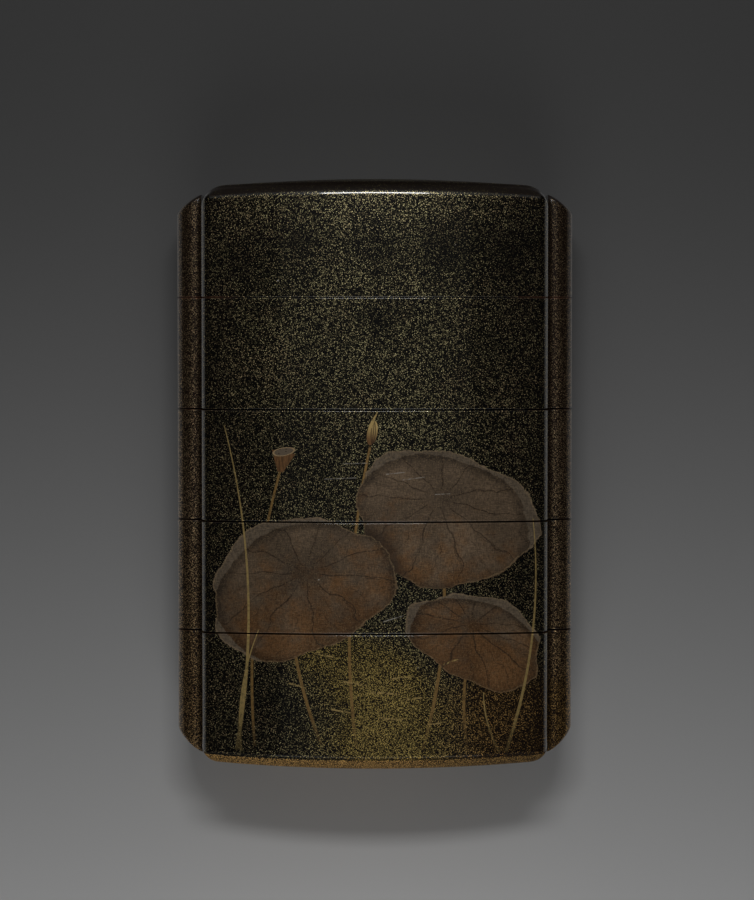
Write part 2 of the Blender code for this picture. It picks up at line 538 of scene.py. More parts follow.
def turnedPlace(entry):
    # the place as seen from the middle of a turned oval, in half widths of that oval
    turn = addNode("VectorRotate", entry["Place"])
    turn.rotation_type = "Z_AXIS"
    feed(turn.inputs["Vector"], aim("SUBTRACT", entry["Place"], entry["Centre"]))
    feed(turn.inputs["Angle"], times(entry["Tilt"], -1))
    return aim("DIVIDE", turn.outputs[0], entry["Size"])


def makeSoftSpot():
    # 1 in the middle of an oval, falling to 0 at its edge
    group, entry, leave = newGroup(
        "softSpot", {"Place": (0, 0, 0), "Centre": (0, 0, 0), "Size": (1, 1, 1), "Tilt": 0.0}, ("Spot",)
    )
    reach = aim("LENGTH", turnedPlace(entry))
    feed(leave["Spot"], ease(reach, 0, 1, 1, 0))
    return group


def makeFineStroke():
    # a thin stroke from one point to another, bowed sideways, tapering from one width to the other
    group, entry, leave = newGroup(
        "fineStroke",
        {"Place": (0, 0, 0), "Start": (0, 0, 0), "End": (0, 1, 0), "Bow": 0.0, "First": 0.2, "Last": 0.2,
         "Soft": 0.08},
        ("Stroke",),
    )
    whole = aim("SUBTRACT", entry["End"], entry["Start"])
    way = aim("NORMALIZE", whole)
    wayX, wayY, _ = splitXyz(way)
    side = joinXyz(times(wayY, -1), wayX)
    fromStart = aim("SUBTRACT", entry["Place"], entry["Start"])
    along = calc("DIVIDE", aim("DOT_PRODUCT", fromStart, way), aim("LENGTH", whole))
    across = aim("DOT_PRODUCT", fromStart, side)
    bend = times(times(along, less(1, along)), 4)  # 0 at both ends and 1 between them
    off = absolute(less(across, times(bend, entry["Bow"])))
    width = mixValue(along, entry["First"], entry["Last"])
    line = ease(less(off, times(width, 0.5)), 0, entry["Soft"], 1, 0)
    inside = ease(absolute(less(along, 0.5)), 0.49, 0.5, 1, 0)
    feed(leave["Stroke"], times(line, inside))
    return group


leafShape = {
    "waves": (3, 8),  # slow and quick ones round the edge
    "quickTurn": 2.3, "quickShare": 0.4, "raggedShare": 1.6,
    "edge": (-0.05, 0.07, 1, 0), "rimInside": 0.1, "rim": (0.03, 0.15, 1, 0),
    "towardsRim": (-2.2, -0.1), "cast": (0, 2.6, 1, 0),
    # the veins: how many, how far out they start, their width and strength
    "veins": ((5.5, 0.05, 0.15, 1.0), (11.0, 0.5, 0.11, 0.6), (22.0, 0.74, 0.08, 0.4)),
    "veinCore": 0.2, "veinComes": 0.2, "bend": 0.6,
    "wander": 0.16, "pleat": (0.1, 0.5), "folds": 5, "foldDepth": 0.022, "foldRagged": 0.1,
    "curl": (1.0, 1.015), "fold": (0.84, 1.0),
}


def makeRoundLeaf():
    # a broad leaf seen at a slant: its mask, veins from the heart out, pleats between them, its rim, the
    # shade it throws beside it, and the edge that curls over with the shade under that
    group, entry, leave = newGroup(
        "roundLeaf",
        {"Place": (0, 0, 0), "Centre": (0, 0, 0), "Size": (10, 7, 1), "Tilt": 0.0, "Heart": (0, 0, 0),
         "Wave": 0.05, "Turn": 0.0, "Curl": (0.05, 0.17, 0)},
        ("Leaf", "Veins", "Pleat", "Rim", "Edge", "Shade", "Curl", "Fold", "Out", "Down"),
    )
    shape = leafShape
    flat = aim("MULTIPLY", turnedPlace(entry), (1, 1, 0))
    flatX, flatY, _ = splitXyz(flat)
    angle = calc("ARCTAN2", flatY, flatX)
    slow, quick = shape["waves"]
    slow = calc("SINE", calc("ADD", times(angle, slow), entry["Turn"]))
    quick = calc("SINE", scaled(angle, quick, times(entry["Turn"], shape["quickTurn"])))
    wave = times(scaled(quick, shape["quickShare"], slow), entry["Wave"])
    ragged = less(cloud(entry["Place"], 1.5, 3, 0.6), 0.5)
    wave = scaled(ragged, times(entry["Wave"], shape["raggedShare"]), wave)
    scale = aim("DOT_PRODUCT", entry["Size"], (0.5, 0.5, 0))
    radius = aim("LENGTH", flat)
    past = times(less(radius, calc("ADD", 1, wave)), scale)
    inRim = absolute(calc("ADD", past, shape["rimInside"]))
    feed(leave["Leaf"], ease(past, *shape["edge"]))
    feed(leave["Rim"], ease(inRim, *shape["rim"]))
    feed(leave["Edge"], ease(past, *shape["towardsRim"]))
    feed(leave["Shade"], ease(past, *shape["cast"]))

    fromHeart = aim("SUBTRACT", flat, entry["Heart"])
    outX, outY, _ = splitXyz(fromHeart)
    out = aim("LENGTH", fromHeart)
    bend = less(cloud(entry["Place"], 6.0, 2, 0.5), 0.5)
    spin = scaled(bend, shape["bend"], calc("ARCTAN2", outY, outX))
    veins = None
    for ribs, start, width, strength in shape["veins"]:
        wander = cloud(entry["Place"], 2.4, 2, 0.5, shift=(ribs, 3, 0))
        wander = scaled(less(wander, 0.5), shape["wander"], spin)
        spoke = calc("SINE", times(wander, ribs))
        off = calc("DIVIDE", times(absolute(spoke), out), ribs)
        line = ease(times(off, scale), width * shape["veinCore"], width, 1, 0)
        line = times(times(line, ease(out, start, start + shape["veinComes"])), strength)
        if veins is None:
            veins, pleat = line, spoke
        else:
            veins = most(veins, line)
    feed(leave["Veins"], veins)
    feed(leave["Pleat"], times(pleat, ease(out, *shape["pleat"])))

    folds = calc("SINE", scaled(angle, shape["folds"], entry["Turn"]))
    curl = aim("LENGTH", aim("ADD", flat, entry["Curl"]))
    curl = scaled(folds, shape["foldDepth"], scaled(ragged, shape["foldRagged"], curl))
    feed(leave["Curl"], ease(curl, *shape["curl"]))
    feed(leave["Fold"], ease(curl, *shape["fold"]))
    feed(leave["Out"], out)
    feed(leave["Down"], times(flatY, -1))
    return group


wearLook = {
    "lip": 0.15,  # how far the rubbing reaches from a seam
    "ragged": (1.8, 0.1), "full": 0.6, "aside": (18, 24), "rubbed": (0.15, 0.06, 0.03),
    "rubbedShare": 0.6,
    "grit": 0.32,  # cells in each millimetre, few of which hold a speck
    "speck": (0.012, 0.03, 1, 0), "rare": (0.8, 0.82), "pale": (0.5, 0.46, 0.4), "speckShare": 0.6,
    "scratchShare": 0.6, "scratchSoft": 0.07, "scratchBreaks": (0.35, 0.6, 0.2, 1), "chipWide": 1.6,
    "chipTilt": 0.4,
}


def makeHandWear():
    # what handling has done: the lacquer rubbed brown at the ends of the seams, and small specks
    group, entry, leave = newGroup("handWear", {"Place": (0, 0, 0), "Lip": 0.2}, ("Ends", "Specks"))
    place = entry["Place"]
    x, y, _ = splitXyz(place)
    nearest = None
    for seam in seams:
        away = absolute(less(y, seam))
        nearest = away if nearest is None else calc("MINIMUM", nearest, away)
    ragged = cloud(place, 0.8, 3, 0.6, stretch=(1, 0.4, 1))
    close = times(entry["Lip"], scaled(ragged, *wearLook["ragged"]))
    edge = ease(nearest, times(close, wearLook["full"]), close, 1, 0)
    feed(leave["Ends"], times(edge, ease(absolute(x), *wearLook["aside"])))
    grit = cells(place, wearLook["grit"])
    rare = ease(splitXyz(grit["Color"])[0], *wearLook["rare"])
    speck = times(ease(grit["Distance"], *wearLook["speck"]), rare)
    feed(leave["Specks"], speck)
    return group


goldDust = makeGoldDust()
softSpot = makeSoftSpot()
fineStroke = makeFineStroke()
roundLeaf = makeRoundLeaf()
handWear = makeHandWear()
print("node groups made")


lacquerLook = {
    "black": (0.0016, 0.0012, 0.0009), "brown": (0.012, 0.0065, 0.004),
    # the lid's rounding gets a dark brown ground: painted shade
    "crown": (0.008, 0.0035, 0.0014), "gold": (1.0, 0.9, 0.46), "redGold": (1.0, 0.66, 0.38),
    "mistGold": (1.0, 0.75, 0.23), "footGold": (1.0, 0.6, 0.2), "flakeCell": 0.105,
    "flakeSize": 0.7, "flakeGloss": 0.42, "blackGloss": 0.25, "dullGloss": 0.85, "quietGloss": 0.36,
    "specular": 0.2, "coatGloss": 0.06, "coatIor": 1.52, "bump": 0.12, "bumpHeight": 0.00005,
    # how thick the dust lies
    "amount": 0.45, "drift": 0.5, "ripple": 0.14,
    "sideThin": 0.13,  # how much less there is towards the shoulders
    "mistAmount": 0.82, "mistMost": 1.8, "beadAmount": 0.55, "beadMiddle": 1.1,
    "beadLightTo": (-0.004, -0.0145),  # painted light: how much more for each millimetre to the right and upwards
    # the foot's dense dust is partly painted light; the thinning on the lid's rounding and in the dark line
    # over the foot is painted shade
    "footDustAndLight": 1.5, "footOnBead": -0.6, "crownThin": 0.88, "bareThin": 0.6,
    # how few flakes carry the brightness; the foot's even brightness is partly painted light
    "spread": 9.0, "beadSpread": 3.8, "mistSpread": 3.4, "footSpread": 1.1, "mistInSpread": 0.9,
    # how red the gold is, and how brown the lacquer
    "redDrift": (0.7, -0.25), "redSides": 0.3, "redBead": 0.85, "redFlake": (0.7, -0.35),
    "mistInGold": 1.2, "brownMist": 0.6, "brownGold": 0.8,
    # how much less metallic or less polished it is in places
    "footMetal": -0.8, "beadCoat": -0.4, "lipQuiet": 0.7,
}

# the soft steps over the lacquer: up and down are how far the surface faces the lid or the foot
lacquerSteps = {
    "front": (5.5, 6.5),  # over the middle plane
    "bead": (-0.05, 0.1),  # past the body's side
    "end": (-3.6, -2.6),  # from the rims' lines
    # where the surface faces the foot it gets the foot's gold band, partly painted light; where it faces the
    # lid, the rounding's painted shade
    "sides": (5, 22), "downGoldAndLight": (0.3, 0.42), "downDull": (0.08, 0.24), "upRounded": (0.27, 0.37),
    "roundedSide": (23.2, 24.2, 1, 0), "lip": (0.12, 0.3), "lipAside": (4, 12),
    "beadOuter": (2.2, 3.4, 0, 0.6), "beadUp": (0.08, 0.2), "beadGrooveShade": (0.2, 1.4, 0.4, 1),
    # the beads' dust darkens beside the groove: painted shade
    "beadBrown": (-38, 0, 0.5, 0), "footRight": (0, 22, 1, 0.52),
    "mistDrift": (0.3, 0.65, 0.6, 1.1), "cornerRight": (6, 17), "cornerLow": (-32, -25, 1, 0),
}
# bands of painted shade: a dark line on the base's rounding, and fewer flakes on the lid's rounding
lacquerBands = {"downShadedLine": (0.2, 0.28, 0.32, 0.4), "upShadedCrown": (0.2, 0.36, 0.85, 0.97)}

# where the dust gathers and where it thins out on the front: centre, size, tilt, and how much
dustClouds = [
    ((3.0, 27.2), (13.0, 2.4), 0.0, 0.08),
    ((2.0, 38.5), (16.0, 3.0), 0.0, 0.04),
    ((0.0, 33.0), (8.0, 7.0), 0.0, -0.24),
    ((-9.5, 33.5), (7.5, 9.0), 0.0, -0.2),
    ((10.5, 33.5), (8.5, 9.0), 0.0, -0.25),
    ((20.0, 33.5), (7.0, 9.0), 0.0, -0.2),
    ((-15.0, 17.5), (8.0, 6.0), 0.3, 0.3),
    ((7.0, 12.0), (15.0, 5.5), 0.1, 0.16),
    ((0.5, 22.0), (5.5, 3.2), -0.3, -0.2),
    ((-18.0, 31.0), (8.0, 6.0), 0.2, -0.12),
    ((16.0, 20.0), (9.0, 7.0), 0.6, -0.1),
    ((5.0, 6.0), (13.0, 5.0), 0.1, 0.24),
    ((22.0, 10.0), (12.0, 40.0), 0.0, -0.03),
    ((-14.0, -34.0), (12.0, 8.0), 0.2, -0.12),
]

# the gold mist at the foot of the picture
mistClouds = [
    ((-2.0, -28.0), (15.0, 9.0), -0.25, 1.2),
    ((4.0, -38.0), (19.0, 10.0), 0.05, 1.3),
    ((0.5, -33.0), (13.0, 9.0), 0.1, 0.7),
    ((-7.0, -25.0), (8.0, 4.6), 0.2, 0.5),
    ((9.5, -12.5), (7.0, 3.2), 0.5, 0.35),
    ((16.0, -33.0), (10.0, 9.0), -0.3, 0.5),
    ((0.0, -39.0), (10.0, 5.5), 0.0, 0.8),
]

# the broad leaves, farthest first
leaves = [
    {"centre": (10.0, -6.0), "size": (13.2, 9.6), "tilt": -0.22, "heart": (-0.1, 0.25), "wave": 0.06,
     "turn": 0.6, "curl": (0.05, 0.11), "warm": 0.25, "light": 0.9},
    {"centre": (-10.8, -16.0), "size": (13.4, 9.8), "tilt": 0.3, "heart": (0.12, 0.2), "wave": 0.065,
     "turn": 2.4, "curl": (-0.07, 0.1), "warm": 0.4, "light": 0.78},
    {"centre": (14.6, -23.5), "size": (10.2, 6.2), "tilt": -0.4, "heart": (-0.15, 0.3), "wave": 0.075,
     "turn": 4.0, "curl": (-0.05, 0.13), "warm": 0.52, "light": 0.76},
]

leafLook = {
    "grey": (0.165, 0.113, 0.07), "warm": (0.19, 0.092, 0.034), "dark": (0.03, 0.017, 0.009),
    "curl": (0.165, 0.125, 0.085), "speck": (0.42, 0.29, 0.15), "metal": 0.35, "gloss": 0.46,
    "grain": 0.34, "grainAlong": (0.45, 1.8, 1), "grainAcross": (1.8, 0.45, 1),
    "grainTone": (0.55, 1.45, 0.45, 1.55), "mottle": 3.4, "patch": 8.0, "cast": 0.75,
    "warmMiddle": 0.4, "warmDown": 0.22, "warmSteps": (0.34, 0.72), "patchSteps": (0.32, 0.68),
    "patchLight": (0.74, 1.16), "pleatLight": 0.1, "rimLight": -0.25, "foldLight": (0, 1, 1, 0.55),
    "heartLight": (0.0, 0.45, 0.72, 1.06), "ink": (0.3, 0.65, 0.5, 0.85),
    "curlLight": (0.3, 0.7, 0.7, 1), "rimGold": 0.3, "dustOver": 0.3,
}

# gold lines of the picture, as start, end, bow, first and last width: the stalks run behind the leaves
stalkLines = [
    ((-2.6, -39.2), (-0.6, 4.4), 1.9, 0.34, 0.24),
    ((6.8, -39.4), (9.4, -8.0), -1.6, 0.38, 0.28),
    ((-7.6, -38.6), (-12.4, -14.0), 1.2, 0.36, 0.28),
    ((13.4, -39.6), (13.8, -24.0), 0.8, 0.3, 0.26),
    ((-17.2, -39.0), (-13.5, 0.8), 1.8, 0.28, 0.22),
]
reedLines = [
    ((-19.9, -39.6), (-21.6, 7.4), -2.6, 0.42, 0.03),
    ((-19.2, -39.6), (-16.6, -22.0), 1.1, 0.36, 0.03),
    ((18.8, -39.8), (22.7, -6.0), -1.9, 0.4, 0.03),
    ((18.0, -39.8), (15.6, -31.0), 0.6, 0.3, 0.03),
    ((-0.62, 7.0), (0.42, 9.2), 0.05, 0.5, 0.03),
]
lineGold = {
    "stalk": (0.42, 0.25, 0.085), "reed": (0.66, 0.47, 0.18), "metal": 0.9, "gloss": 0.42,
    "stalkSoft": 0.1, "reedSoft": 0.08, "dashSoft": 0.14, "thin": (0.3, 0.6, 0.45, 1),
    "broken": (0.42, 0.56),
    "rising": (-38.5, -32, 0.15, 1),  # the lines fade into the mist at the foot
}

# a seed head and a bud above the leaves
podLook = {
    "foot": (-13.5, 0.6), "top": (-13.0, 3.5), "first": 0.7, "last": 3.3, "soft": 0.12,
    "ribs": (0.35, 0.65, 0.55, 1.1), "rim": (1.66, 0.6), "tilt": 0.17, "wave": 0.02, "turn": 1.0,
    "seeds": 1.7,  # in each millimetre
    "seed": (0.16, 0.3, 1, 0), "seedDark": 0.8,
}
budLook = {
    "centre": (-0.35, 6.2), "size": (0.72, 1.75), "tilt": -0.2, "tone": (-0.8, 0.8),
    "petals": (-0.3, 0.0, 0.3),  # how far each line bows
    "lineWidth": 0.06, "lineLean": 0.3, "lineSoft": 0.08, "lineDark": 0.75,
}

# short bright dashes of gold on the ground: start, end, width
groundDashes = [
    ((-8.6, -25.3), (-5.9, -25.9), 0.16),
    ((-4.6, -29.4), (-1.2, -29.9), 0.14),
    ((-0.6, -30.9), (3.6, -31.2), 0.18),
    ((2.2, -29.0), (5.4, -28.7), 0.12),
    ((4.4, -32.0), (6.8, -31.7), 0.14),
    ((-12.6, -29.6), (-9.8, -30.4), 0.12),
    ((-6.2, -33.4), (-3.4, -33.9), 0.12),
    ((0.4, -34.6), (4.0, -34.9), 0.14),
    ((7.6, -35.6), (10.2, -35.3), 0.12),
    ((9.8, -27.0), (12.0, -26.2), 0.1),
]

dashTaper = 0.4  # how wide a dash or scratch still is at its end

# scratches in the polish: start, end, width
scratches = [
    ((-4.6, 1.8), (-1.0, 1.9), 0.07),
    ((-7.2, -0.4), (-2.6, -0.2), 0.06),
    ((1.6, 0.3), (4.4, 0.6), 0.07),
    ((4.0, -0.5), (7.2, -0.1), 0.06),
    ((1.2, -20.8), (4.2, -19.9), 0.12),
    ((8.6, -2.6), (10.8, -2.5), 0.05),
]

# single pale chips: centre and size
chips = [((-13.8, 27.9), 0.16), ((-8.0, -14.8), 0.13), ((11.5, 33.0), 0.09), ((6.2, -27.4), 0.1)]


def beside(pair):
    return (*pair, 0.0)


def addSpots(place, spots, start):
    total = start
    for centre, size, tilt, amount in spots:
        spot = useGroup(softSpot, Place=place, Centre=beside(centre), Size=(*size, 1.0), Tilt=tilt)
        total = scaled(spot["Spot"], amount, total)
    return total


def addStrokes(place, strokes, soft):
    total = None
    for start, end, *rest in strokes:
        bow, first, last = rest if len(rest) == 3 else (0.0, rest[0], rest[0] * dashTaper)
        stroke = useGroup(
            fineStroke, Place=place, Start=beside(start), End=beside(end), Bow=bow,
            First=first, Last=last, Soft=soft,
        )["Stroke"]
        total = stroke if total is None else most(total, stroke)
    return total


def useLeaf(place, centre, size, tilt, heart, **more):
    return useGroup(
        roundLeaf, Place=place, Centre=beside(centre), Size=(*size, 1.0), Tilt=tilt,
        Heart=beside(heart), **more,
    )


def paintLeaves(place, colour, glint):
    # lays the leaves over the ground, and returns the colour and how much of it is leaf
    look = leafLook
    grain = cloud(place, look["grain"], 2, 0.7, stretch=look["grainAlong"])
    weft = cloud(place, look["grain"], 2, 0.7, stretch=look["grainAcross"], shift=(3, 5, 0))
    mottle = cloud(place, look["mottle"], 4, 0.62, shift=(7, 2, 0))
    patch = cloud(place, look["patch"], 3, 0.55, shift=(1, 9, 0))
    fine = ease(calc("ADD", grain, weft), *look["grainTone"])
    covered = 0.0
    for leaf in leaves:
        made = useLeaf(
            place, leaf["centre"], leaf["size"], leaf["tilt"], leaf["heart"], Wave=leaf["wave"],
            Turn=leaf["turn"], Curl=beside(leaf["curl"]),
        )
        shade = times(times(made["Shade"], covered), look["cast"])
        colour = mixColour(shade, colour, look["dark"])
        warm = calc("ADD", mottle, leaf["warm"] - look["warmMiddle"])
        warm = scaled(made["Down"], look["warmDown"], warm)
        body = mixColour(ease(warm, *look["warmSteps"]), look["grey"], look["warm"])
        # pleats, the shade towards the rim and under the curled edge, and the heart's hollow
        low, high = (leaf["light"] * share for share in look["patchLight"])
        light = ease(patch, *look["patchSteps"], low, high)
        light = times(light, scaled(made["Pleat"], look["pleatLight"], 1))
        light = times(light, scaled(made["Edge"], look["rimLight"], 1))
        light = times(light, ease(made["Fold"], *look["foldLight"]))
        light = times(light, ease(made["Out"], *look["heartLight"]))
        body = timesValue(body, light)
        ink = times(made["Veins"], ease(mottle, *look["ink"]))
        body = mixColour(ink, body, look["dark"])
        curl = timesValue(look["curl"], ease(patch, *look["curlLight"]))
        body = mixColour(made["Curl"], body, curl)
        body = mixColour(times(made["Rim"], look["rimGold"]), body, look["speck"])
        body = timesValue(body, fine)
        body = mixColour(times(glint, look["dustOver"]), body, look["speck"])
        colour = mixColour(made["Leaf"], colour, body)
        covered = most(covered, made["Leaf"])
    return colour, covered


def paintPod(place, colour):
    # the seed head: a cone under an oval face with its seeds
    look = podLook
    cone = useGroup(
        fineStroke, Place=place, Start=beside(look["foot"]), End=beside(look["top"]), Bow=0.0,
        First=look["first"], Last=look["last"], Soft=look["soft"],
    )["Stroke"]
    ribs = ease(cloud(place, 0.5, 2, 0.6, stretch=(2, 0.3, 1)), *look["ribs"])
    face = useLeaf(
        place, look["top"], look["rim"], look["tilt"], (0.0, 0.0), Wave=look["wave"], Turn=look["turn"]
    )
    seeds = cells(aim("MULTIPLY", place, (1, 2, 0)), look["seeds"])
    seed = ease(seeds["Distance"], *look["seed"])
    colour = mixColour(cone, colour, timesValue(leafLook["warm"], ribs))
    top = mixColour(times(seed, look["seedDark"]), leafLook["curl"], leafLook["dark"])
    top = mixColour(face["Rim"], top, leafLook["speck"])
    colour = mixColour(face["Leaf"], colour, top)
    return colour, most(cone, face["Leaf"])


def paintBud(place, colour):
    # a closed bud with the lines of its petals
    look = budLook
    bud = useLeaf(place, look["centre"], look["size"], look["tilt"], (0.0, -1.0), Wave=0.0, Turn=0.0)
    x, y = look["centre"]
    half = look["size"][1]
    width = look["lineWidth"]
    petals = [((x, y - half), (x + look["lineLean"], y + half), bow, width, width) for bow in look["petals"]]
    lines = addStrokes(place, petals, look["lineSoft"])
    body = mixColour(ease(bud["Down"], *look["tone"]), lineGold["reed"], leafLook["warm"])
    body = mixColour(times(lines, look["lineDark"]), body, leafLook["dark"])
    return mixColour(bud["Leaf"], colour, body), bud["Leaf"]


def soft(value, name):
    return ease(value, *lacquerSteps[name])


def offset(edges, start):
    return [start + edge for edge in edges]


def lacquerPlaces(tree):
    # where a point is, and masks of the case's parts: its front, its beads and its rounded ends
    at = SimpleNamespace(place=placeHere(tree))
    at.flat = aim("MULTIPLY", at.place, (1, 1, 0))
    at.x, at.y, z = splitXyz(at.place)
    up = splitXyz(tree.nodes.new("ShaderNodeNewGeometry").outputs["Normal"])[1]
    down = times(up, -1)
    aside = absolute(at.x)
    atEnd = ease(absolute(at.y), *offset(lacquerSteps["end"], topRim))
    at.front = ease(z, *offset(lacquerSteps["front"], caseMiddle))
    at.sides = soft(aside, "sides")
    at.outward = less(aside, caseShape["bodyHalf"])
    at.onBead = ease(aside, *offset(lacquerSteps["bead"], caseShape["bodyHalf"]))

    # the foot's gold, partly real dust and partly painted light; a dark line between that and the front,
    # painted shade; and the lid's rounding, darkened as painted shade
    at.foot = times(soft(down, "downGoldAndLight"), atEnd)
    at.foot = times(at.foot, scaled(at.onBead, lacquerLook["footOnBead"], 1))
    at.bare = times(band(down, *lacquerBands["downShadedLine"]), atEnd)
    at.crown = times(band(up, *lacquerBands["upShadedCrown"]), atEnd)
    at.rounded = times(times(soft(up, "upRounded"), atEnd), soft(aside, "roundedSide"))

    # where the polish is less: the base's rounding, and the lid's, the seams' lips and the beads' outside
    at.dulled = times(soft(down, "downDull"), atEnd)
    lip = times(times(soft(absolute(up), "lip"), less(1, atEnd)), soft(aside, "lipAside"))
    outer = times(at.onBead, most(soft(at.outward, "beadOuter"), soft(up, "beadUp")))
    at.quiet = most(at.rounded, most(times(lip, lacquerLook["lipQuiet"]), outer))
    return at


def dustAmount(at, drift, mist):
    # thinner towards the shoulders; thinned on the lid's rounding and in the dark line over the foot as
    # painted shade; dense round the foot, partly real dust and partly painted light
    look = lacquerLook
    ripple = cloud(at.place, 1.6, 3, 0.6)
    amount = scaled(drift, look["drift"], look["amount"] - look["drift"] / 2)
    amount = scaled(ripple, look["ripple"], less(amount, look["ripple"] / 2))
    amount = scaled(at.sides, -look["sideThin"], amount)
    amount = addSpots(at.flat, dustClouds, amount)
    amount = scaled(mist, look["mistAmount"], amount)
    # painted light: the beads' dust is brighter towards the foot and to the left; painted shade keeps it dark
    # beside the groove
    right, upward = look["beadLightTo"]
    along = scaled(at.y, upward, scaled(at.x, right, look["beadMiddle"]))
    beadDustLitAndShaded = times(along, soft(at.outward, "beadGrooveShade"))
    amount = mixValue(at.onBead, amount, times(beadDustLitAndShaded, look["beadAmount"]))
    # painted shade: fewer flakes on the lid's rounding and in the dark line over the foot
    thin = most(times(at.crown, look["crownThin"]), times(at.bare, look["bareThin"]))
    amount = times(amount, less(1, thin))
    # the foot's dense dust: partly real, partly painted light
    footDust = times(soft(at.x, "footRight"), look["footDustAndLight"])
    return mixValue(at.foot, amount, footDust)


def dustSpread(at, mist):
    look = lacquerLook
    inMist = times(mist, look["mistInSpread"], clamp=True)
    spread = mixValue(inMist, look["spread"], look["mistSpread"])
    spread = mixValue(at.onBead, spread, look["beadSpread"])
    return mixValue(at.foot, spread, look["footSpread"])


def dustColour(at, mist, browner, tint):
    look = lacquerLook
    hue = scaled(cloud(at.place, 5.0, 2, 0.5, shift=(2, 8, 4)), *look["redDrift"], clamp=True)
    hue = most(scaled(at.sides, look["redSides"], hue), times(at.onBead, look["redBead"]))
    hue = calc("ADD", hue, scaled(tint, *look["redFlake"]), clamp=True)
    gold = mixColour(hue, look["gold"], look["redGold"])
    gold = mixColour(times(mist, look["mistInGold"], clamp=True), gold, look["mistGold"])
    return mixColour(browner, gold, look["footGold"])


def layGround(at, pictured):
    # the dusted lacquer: its colour, how metallic it is, its roughness, its coat, and the flakes' light
    look = lacquerLook
    drift = cloud(at.place, 9.0, 3, 0.55)
    browner = most(at.foot, times(at.onBead, soft(at.y, "beadBrown")))
    mist = addSpots(at.flat, mistClouds if pictured else [], 0.0)
    mist = times(mist, soft(drift, "mistDrift"))
    mist = calc("MINIMUM", mist, look["mistMost"])
    if pictured:
        corner = times(soft(at.x, "cornerRight"), soft(at.y, "cornerLow"))
        browner = most(browner, corner)
    dust = useGroup(
        goldDust, Place=at.place, Cell=look["flakeCell"], Amount=dustAmount(at, drift, mist),
        Size=look["flakeSize"], Spread=dustSpread(at, mist),
    )
    flake, glint = dust["Flake"], dust["Glint"]
    gold = timesValue(dustColour(at, mist, browner, dust["Tint"]), glint)
    warmth = most(at.onBead, times(mist, look["brownMist"]))
    warmth = most(times(browner, look["brownGold"]), warmth, clamp=True)
    base = mixColour(warmth, look["black"], look["brown"])
    # painted shade: a dark brown ground on the lid's rounding
    base = mixColour(at.rounded, base, look["crown"])
    colour = mixColour(flake, base, gold)
    metal = times(flake, scaled(at.foot, look["footMetal"], 1))
    gloss = scaled(flake, look["flakeGloss"] - look["blackGloss"], look["blackGloss"])
    gloss = mixValue(at.dulled, gloss, look["dullGloss"])
    gloss = mixValue(at.quiet, gloss, look["quietGloss"])
    coat = times(less(1, at.dulled), scaled(at.onBead, look["beadCoat"], 1))
    coat = times(coat, less(1, at.quiet))
    return colour, metal, gloss, coat, glint


def paintPicture(at, colour, metal, gloss, glint):
    # on the front only: stalks, leaves, the seed head and the bud, with reeds and dashes of gold over them
    onFront = times(at.front, less(1, at.onBead))
    thick = ease(cloud(at.place, 0.5, 3, 0.65), *lineGold["thin"])
    rising = ease(at.y, *lineGold["rising"])
    stalks = times(addStrokes(at.flat, stalkLines, lineGold["stalkSoft"]), thick)
    stalks = times(stalks, rising)
    painted = mixColour(stalks, colour, lineGold["stalk"])
    painted, covered = paintLeaves(at.flat, painted, glint)
    painted, podded = paintPod(at.flat, painted)
    painted, budded = paintBud(at.flat, painted)
    covered = most(covered, most(podded, budded))
    colour = mixColour(onFront, colour, painted)
    reeds = times(addStrokes(at.flat, reedLines, lineGold["reedSoft"]), rising)
    broken = ease(cloud(at.place, 0.45, 2, 0.7), *lineGold["broken"])
    dashes = times(addStrokes(at.flat, groundDashes, lineGold["dashSoft"]), broken)
    reeds = times(most(reeds, dashes), times(thick, onFront))
    colour = mixColour(reeds, colour, lineGold["reed"])
    stalks = times(times(stalks, less(1, covered)), onFront)
    covered = times(covered, onFront)
    lines = most(reeds, stalks)
    metal = mixValue(lines, mixValue(covered, metal, leafLook["metal"]), lineGold["metal"])
    gloss = mixValue(lines, mixValue(covered, gloss, leafLook["gloss"]), lineGold["gloss"])
    return colour, metal, gloss


def addWear(at, colour, metal, pictured):
    look = wearLook
    worn = useGroup(handWear, Place=at.place, Lip=look["lip"])
    colour = mixColour(times(worn["Ends"], look["rubbedShare"]), colour, look["rubbed"])
    marks = times(worn["Specks"], look["speckShare"])
    if pictured:
        broken = ease(cloud(at.place, 0.5, 2, 0.6), *look["scratchBreaks"])
        fine = times(addStrokes(at.flat, scratches, look["scratchSoft"]), at.front)
        marks = most(marks, times(times(fine, broken), look["scratchShare"]))
    for centre, size in chips:
        chip = (centre, (size * look["chipWide"], size), look["chipTilt"], 1.0)
        marks = most(marks, times(addSpots(at.flat, [chip], 0.0), at.front))
    return mixColour(marks, colour, look["pale"]), times(metal, less(1, marks))


def lacquerMaterial(name, pictured):
    material, tree, shader = newMaterial(name)
    at = lacquerPlaces(tree)
    colour, metal, gloss, coat, glint = layGround(at, pictured)
    if pictured:
        colour, metal, gloss = paintPicture(at, colour, metal, gloss, glint)
    colour, metal = addWear(at, colour, metal, pictured)
    bump = tree.nodes.new("ShaderNodeBump")
    feedAll(bump, {
        "Strength": lacquerLook["bump"],
        "Distance": lacquerLook["bumpHeight"],
        "Height": cloud(at.place, 2.2, 2, 0.5, shift=(5, 5, 5)),
    })
    feedAll(shader, {
        "Base Color": colour,
        "Metallic": metal,
        "Roughness": gloss,
        "Specular IOR Level": lacquerLook["specular"],
        "Coat Weight": coat,
        "Coat Roughness": lacquerLook["coatGloss"],
        "Coat IOR": lacquerLook["coatIor"],
        "Normal": bump.outputs[0],
    })
    return material


